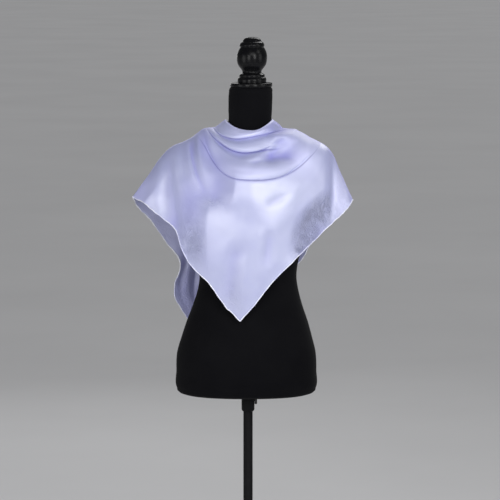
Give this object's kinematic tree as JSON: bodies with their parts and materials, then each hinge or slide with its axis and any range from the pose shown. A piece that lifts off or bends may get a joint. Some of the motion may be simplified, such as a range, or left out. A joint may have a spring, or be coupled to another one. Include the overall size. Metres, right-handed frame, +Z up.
{
  "type": "silk scarf on a limbless dress form and pole stand",
  "caption": "Square silk scarf folded to a triangle and draped with cowl folds over a limbless dress form on an adjustable pole stand.",
  "frame": {"origin": "middle of the base's underside, on the pole's axis, where the stand meets the floor", "axes": "+Z up along the pole, -Y the front that the picture shows, +X the viewer's right"},
  "size_m": [0.5408, 0.36, 1.5451],
  "materials": {
    "black_steel": "satin",
    "black_plastic": "satin",
    "black_jersey": "matte",
    "black_lacquer": "gloss",
    "lilac_silk": "satin"
  },
  "bodies": {
    "stand": {"base": "black_steel", "pole": "black_steel"},
    "clamp": {"collar": "black_steel"},
    "screw": {"thumb_screw": "black_plastic"},
    "form": {"torso": "black_jersey", "neck_cap": "black_lacquer", "finial": "black_lacquer", "scarf_front": "lilac_silk", "scarf_left_end": "lilac_silk", "scarf_right_end": "lilac_silk"}
  },
  "joints": [
    {"name": "height_slide", "type": "slide", "parent": "stand", "child": "clamp", "axis": [0, 0, 1], "range_m": [-0.2, 0.25]},
    {"name": "form_swivel", "type": "hinge", "parent": "clamp", "child": "form", "pos_m": [0, 0, 0.675], "axis": [0, 0, 1], "continuous": true},
    {"name": "screw_turn", "type": "hinge", "parent": "clamp", "child": "screw", "pos_m": [0.019, 0, 0.655], "axis": [1, 0, 0], "continuous": true}
  ]
}
